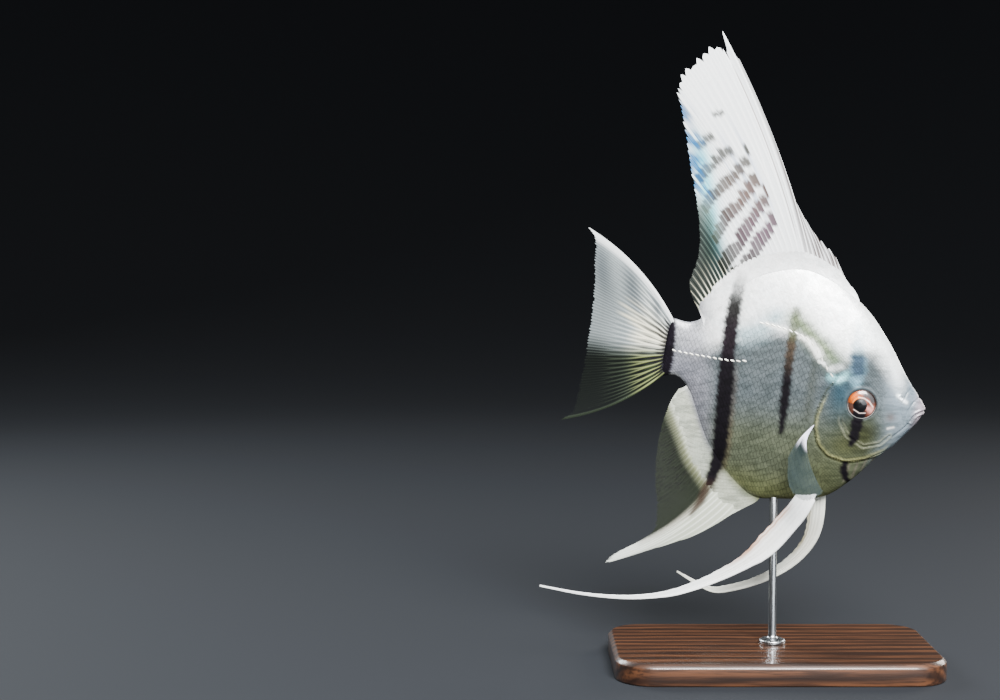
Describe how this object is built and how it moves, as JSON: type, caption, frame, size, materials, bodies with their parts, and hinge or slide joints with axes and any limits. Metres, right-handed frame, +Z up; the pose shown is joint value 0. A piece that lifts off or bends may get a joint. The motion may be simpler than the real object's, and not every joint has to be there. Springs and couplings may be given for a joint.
{
  "type": "freshwater angelfish model on stand",
  "caption": "Life-size still model of a barred silver angelfish, nose slightly down, with tall dorsal fin and trailing pelvic fins, held by one rod on a flat rounded base.",
  "frame": {"origin": "centre of the stand base's underside, on the floor", "axes": "+Z up; +X towards the fish's head, which is turned 10 degrees from +X towards -Y; -Y is the side that the fish's right flank faces"},
  "size_m": [0.1274, 0.06, 0.2023],
  "materials": {
    "skin": "pearly silver scales with black upright bars, as a painted museum cast",
    "fin": "thin white to translucent membrane over raised rays",
    "eye": "clear polished dome over a brown and pink iris",
    "base_wood": "dark stained, satin varnish",
    "rod_steel": "fine brushed along its length"
  },
  "bodies": {
    "root": {"head": "skin", "upper_jaw": "skin", "lower_jaw": "skin", "gill_cover_right": "skin", "gill_cover_left": "skin", "trunk": "skin", "tail_stalk": "skin", "eye_right": "eye", "eye_left": "eye", "dorsal_fin": "fin", "anal_fin": "fin", "tail_fin": "fin", "pectoral_fin_right": "fin", "pectoral_fin_left": "fin", "pelvic_fin_right": "fin", "pelvic_fin_left": "fin", "stand_base": "base_wood", "stand_rod": "rod_steel"}
  },
  "joints": []
}
